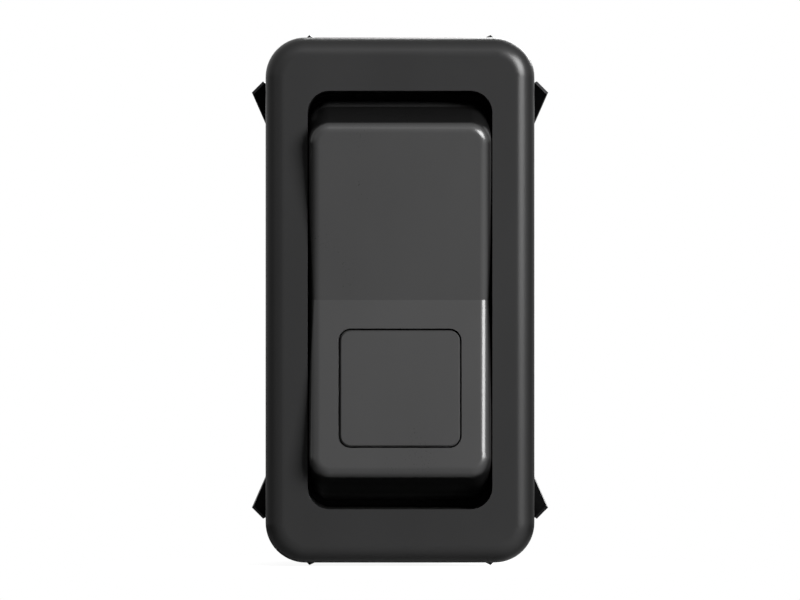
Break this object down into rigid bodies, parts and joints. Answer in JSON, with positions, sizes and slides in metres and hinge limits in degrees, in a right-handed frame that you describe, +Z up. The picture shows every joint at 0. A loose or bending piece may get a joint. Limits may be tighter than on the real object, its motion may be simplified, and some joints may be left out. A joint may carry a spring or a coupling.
{
  "type": "rocker light switch",
  "caption": "Panel-mount rocker light switch: rounded bezel, dished three-position rocker with a flush lens, sprung corner clips and rear blade terminals.",
  "frame": {"origin": "middle of the bezel's rear face, in the plane of the panel's front", "axes": "the front faces -Y, +X is to the viewer's right, +Z is up along the rocker's length, +Y runs into the panel"},
  "size_m": [0.0284, 0.0376, 0.0506],
  "materials": {
    "black_nylon": "satin moulded",
    "base_nylon": "satin moulded",
    "rocker_black": "satin moulded",
    "lens_black": "black-coated translucent",
    "clear_guide": "polished",
    "spring_steel": "blackened",
    "wire_steel": "drawn",
    "tinned_brass": "stamped",
    "bare_copper": "stamped copper",
    "silver_contact": "bright",
    "white_nylon": "moulded",
    "circuit_board": "solder mask",
    "lamp_epoxy": "clear epoxy",
    "resistor_coat": "glazed chip"
  },
  "bodies": {
    "switch_body": {"housing": "black_nylon", "terminal_base": "base_nylon", "clip_upper": "spring_steel", "clip_lower": "spring_steel", "terminal_common": "tinned_brass", "terminal_upper": "tinned_brass", "terminal_lower": "tinned_brass", "fixed_contact_upper": "silver_contact", "fixed_contact_lower": "silver_contact", "lamp_terminal_left": "tinned_brass", "lamp_terminal_right": "tinned_brass", "lamp_board": "circuit_board", "indicator_led": "lamp_epoxy", "lamp_resistor": "resistor_coat"},
    "rocker": {"rocker_cap": "rocker_black", "rocker_lens": "lens_black", "light_guide": "clear_guide", "plunger_spring": "wire_steel"},
    "plunger": {"plunger": "white_nylon"},
    "contact_arm": {"contact_arm": "bare_copper", "arm_contact_upper": "silver_contact", "arm_contact_lower": "silver_contact"}
  },
  "joints": [
    {"name": "rocker_hinge", "type": "hinge", "parent": "switch_body", "child": "rocker", "pos_m": [0, 0.0053, 0], "axis": [1, 0, 0], "range_deg": [-9, 9]},
    {"name": "plunger_slide", "type": "slide", "parent": "rocker", "child": "plunger", "axis": [0, -1, 0], "range_m": [0, 0.0014], "stiffness_N_per_m": 800, "springref_m": -0.0025, "deforming": ["plunger_spring"]},
    {"name": "arm_hinge", "type": "hinge", "parent": "switch_body", "child": "contact_arm", "pos_m": [0, 0.01888, 0], "axis": [1, 0, 0], "range_deg": [-4.5, 4.5]}
  ],
  "couplings": [
    {"joint": "arm_hinge", "follows": "rocker_hinge", "ratio": -0.5}
  ]
}
